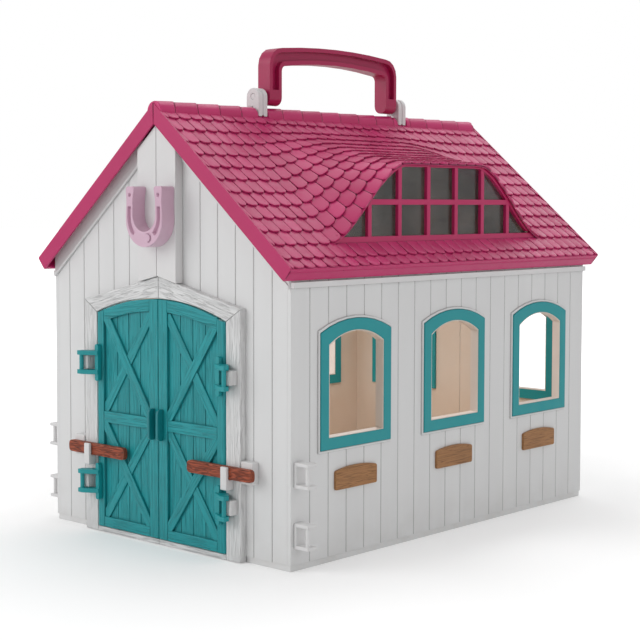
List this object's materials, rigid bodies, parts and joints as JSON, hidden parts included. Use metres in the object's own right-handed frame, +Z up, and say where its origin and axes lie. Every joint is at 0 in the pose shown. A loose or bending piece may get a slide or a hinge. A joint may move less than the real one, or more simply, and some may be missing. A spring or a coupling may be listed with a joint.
{
  "type": "toy stable carry case",
  "caption": "Toy stable that opens like a carrying case, with a tiled gable roof, a dormer, double barn doors with lock bars, a horseshoe clasp and a handle on the ridge.",
  "frame": {"origin": "middle of the footprint, on the surface the stable stands on", "axes": "+Z up, -Y out of the gable with the doors, +X out of the side wall under the dormer"},
  "size_m": [0.221, 0.3165, 0.2943],
  "materials": {
    "roof": "satin magenta plastic",
    "dormer": "satin magenta plastic",
    "handle": "satin magenta plastic",
    "wall": "satin white plastic with boards",
    "trim": "satin white plastic with wood grain",
    "floor": "matte tan plastic",
    "window_frame": "satin teal plastic",
    "door": "satin teal plastic with wood grain",
    "door_pull": "satin teal plastic",
    "bar": "matte brown plastic with wood grain",
    "plate": "matte brown plastic",
    "clasp": "satin pink plastic",
    "pane": "clear plastic",
    "rod": "bright steel rod"
  },
  "bodies": {
    "right_half": {"right_floor": "floor", "right_side_wall": "wall", "right_front_wall": "wall", "right_back_wall": "wall", "right_roof": "roof", "right_ridge_cap": "roof", "right_roof_liner": "wall", "dormer_window": "dormer", "dormer_pane": "pane", "right_window_frame_1": "window_frame", "right_window_frame_2": "window_frame", "right_window_frame_3": "window_frame", "right_name_plate_1": "plate", "right_name_plate_2": "plate", "right_name_plate_3": "plate", "right_gable_panel": "wall", "right_door_frame": "trim", "right_hinge_loop_1": "door", "right_hinge_loop_2": "door", "right_bar_hook": "trim", "right_bar_post": "trim", "right_fence_loop_1": "trim", "right_fence_loop_2": "trim", "right_hinge_leaf": "trim", "hinge_rod": "rod", "front_handle_ear": "trim", "rear_handle_ear": "trim", "front_handle_pin": "trim", "rear_handle_pin": "trim", "clasp_pin": "clasp"},
    "left_half": {"left_floor": "floor", "left_side_wall": "wall", "left_front_wall": "wall", "left_back_wall": "wall", "left_roof": "roof", "left_ridge_cap": "roof", "left_roof_liner": "wall", "left_window_frame_1": "window_frame", "left_window_frame_2": "window_frame", "left_window_frame_3": "window_frame", "left_name_plate_1": "plate", "left_name_plate_2": "plate", "left_name_plate_3": "plate", "left_gable_panel": "wall", "left_door_frame": "trim", "left_hinge_loop_1": "door", "left_hinge_loop_2": "door", "left_bar_hook": "trim", "left_bar_post": "trim", "left_fence_loop_1": "trim", "left_fence_loop_2": "trim", "left_hinge_leaf": "trim"},
    "right_leaf": {"right_door": "door", "right_door_pull": "door_pull"},
    "left_leaf": {"left_door": "door", "left_door_pull": "door_pull"},
    "right_bar": {"right_lock_bar": "bar"},
    "left_bar": {"left_lock_bar": "bar"},
    "clasp": {"horseshoe_clasp": "clasp"},
    "carry_handle": {"handle": "handle"}
  },
  "joints": [
    {"name": "case_open", "type": "hinge", "parent": "right_half", "child": "left_half", "pos_m": [0, 0.1549, 0.1], "axis": [0, 0, -1], "range_deg": [0, 180]},
    {"name": "right_door_swing", "type": "hinge", "parent": "right_half", "child": "right_leaf", "pos_m": [0.0526, -0.1449, 0.07], "axis": [0, 0, -1], "range_deg": [0, 90]},
    {"name": "left_door_swing", "type": "hinge", "parent": "left_half", "child": "left_leaf", "pos_m": [-0.0526, -0.1449, 0.07], "axis": [0, 0, 1], "range_deg": [0, 90]},
    {"name": "right_bar_lift", "type": "hinge", "parent": "right_half", "child": "right_bar", "pos_m": [0.0716, -0.149, 0.0498], "axis": [0, 1, 0], "range_deg": [0, 90]},
    {"name": "left_bar_lift", "type": "hinge", "parent": "left_half", "child": "left_bar", "pos_m": [-0.0716, -0.149, 0.0498], "axis": [0, -1, 0], "range_deg": [0, 90]},
    {"name": "clasp_turn", "type": "hinge", "parent": "right_half", "child": "clasp", "pos_m": [0.0036, -0.153, 0.1773], "axis": [0, 1, 0], "range_deg": [0, 90]},
    {"name": "handle_swing", "type": "hinge", "parent": "right_half", "child": "carry_handle", "pos_m": [0, 0, 0.2614], "axis": [0, 1, 0], "range_deg": [-114, 114]}
  ]
}
